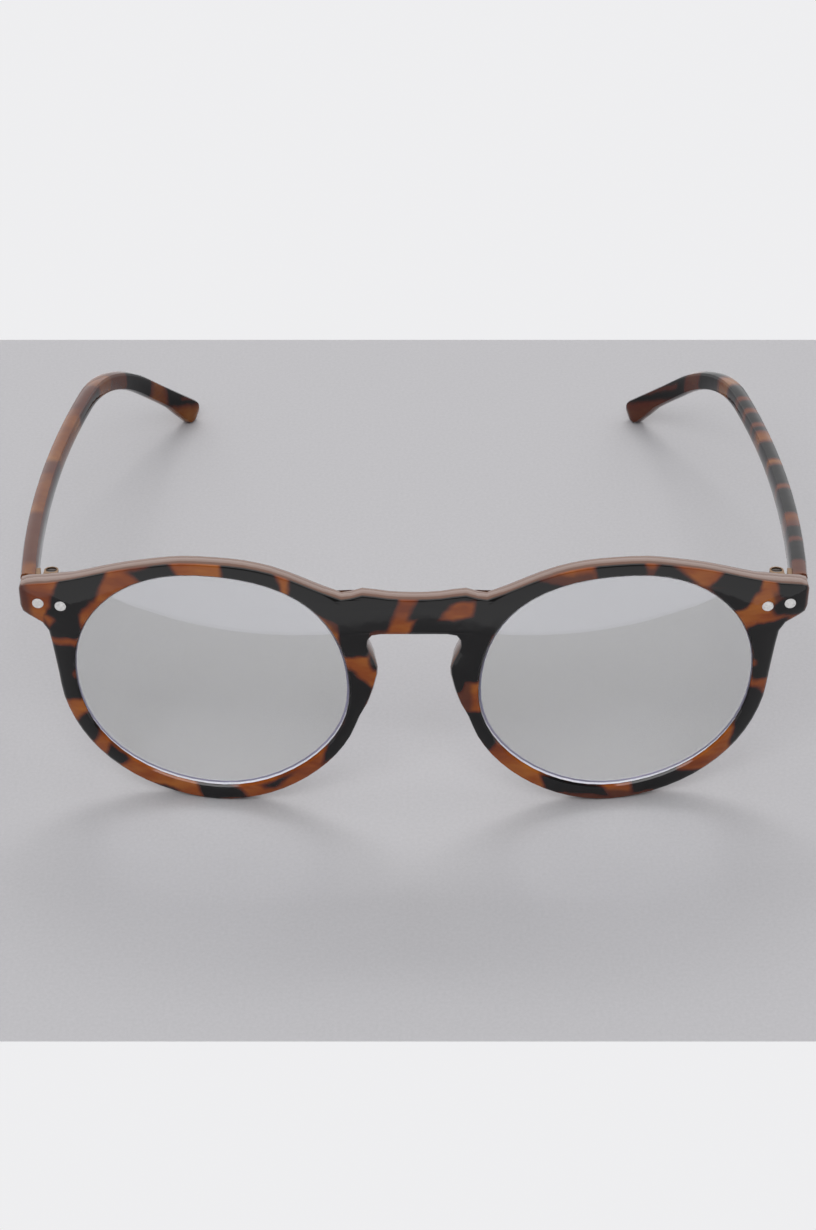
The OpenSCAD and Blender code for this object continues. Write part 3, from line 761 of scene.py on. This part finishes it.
# Light: a broad panel behind, a lamp high above it, a smaller panel in front, and a pale world.
lightSetup = {
    "backPanel": {"place": (0.0, 1.60, 1.24), "size": (4.0, 1.00), "power": 22.4,
                  "colour": (1.0, 0.985, 0.97), "mirrored": True},
    # gives the shadows and isn't mirrored
    "highLamp": {"place": (0.0, 2.80, 3.60), "size": (2.4, 1.4), "power": 56.0,
                 "colour": (1.0, 0.995, 0.99), "mirrored": False},
    "frontPanel": {"place": (-0.15, -0.80, 0.95), "size": (0.9, 0.5), "power": 5.8,
                   "colour": (0.99, 0.99, 1.0), "mirrored": True},
}
worldLook = {
    "colour": (0.985, 0.985, 1.0),
    "background": 0.87,    # to the camera and through the lenses
    "onObject": 0.46,      # as a light
    "mirrorGround": 1.0,   # in reflections, below the horizon
    "mirrorFront": 0.22,   # above the horizon in front
    "mirrorBack": 1.60,    # high up behind
    "mirrorLow": 1.80,     # low down behind
    # each pair gives where one level turns into the next, as a part of a direction of length 1
    "horizon": (-0.02, 0.10),
    "lowToHigh": (0.10, 0.30),
    "frontToBack": (-0.2, 0.3),
}


def areaLight(name, setup):
    lightData = bpy.data.lights.new(name, "AREA")
    lightData.shape = "RECTANGLE"
    lightData.size, lightData.size_y = setup["size"]
    lightData.energy = setup["power"]
    lightData.color = setup["colour"]
    light = bpy.data.objects.new(name, lightData)
    light.location = setup["place"]
    light.rotation_euler = (-Vector(setup["place"])).to_track_quat("-Z", "Y").to_euler()
    light.visible_glossy = setup["mirrored"]
    bpy.context.scene.collection.objects.link(light)


def blend(tree, share, first, second):
    # first where the share is 0, second where it is 1
    gap = mathNode(tree, "SUBTRACT", second, first)
    return mathNode(tree, "MULTIPLY_ADD", share, gap, first)


def paleWorld():
    # near white to the camera and through the lenses; dimmer as a light
    world = bpy.data.worlds.new("paleWorld")
    bpy.context.scene.world = world
    world.use_nodes = True
    tree = world.node_tree
    background = tree.nodes["Background"]
    background.inputs["Color"].default_value = (*worldLook["colour"], 1)
    rays = addNode(tree, "ShaderNodeLightPath")
    seen = mathNode(tree, "MAXIMUM", rays.outputs["Is Camera Ray"],
                    rays.outputs["Is Transmission Ray"])
    level = mathNode(tree, "MULTIPLY_ADD", seen,
                     worldLook["background"] - worldLook["onObject"], worldLook["onObject"])
    direction = addNode(tree, "ShaderNodeSeparateXYZ")
    tree.links.new(addNode(tree, "ShaderNodeTexCoord").outputs["Generated"], direction.inputs[0])
    behind = smoothStep(tree, direction.outputs["Z"], *worldLook["lowToHigh"],
                        worldLook["mirrorLow"], worldLook["mirrorBack"])
    backShare = smoothStep(tree, direction.outputs["Y"], *worldLook["frontToBack"])
    sky = blend(tree, backShare, worldLook["mirrorFront"], behind)
    above = smoothStep(tree, direction.outputs["Z"], *worldLook["horizon"])
    mirrored = blend(tree, above, worldLook["mirrorGround"], sky)
    onlyMirror = mathNode(tree, "SUBTRACT", rays.outputs["Is Glossy Ray"], seen)
    onlyMirror = mathNode(tree, "MAXIMUM", onlyMirror, 0.0)
    tree.links.new(blend(tree, onlyMirror, level, mirrored), background.inputs["Strength"])


for name, setup in lightSetup.items():
    areaLight(name, setup)
paleWorld()
print("lights set")
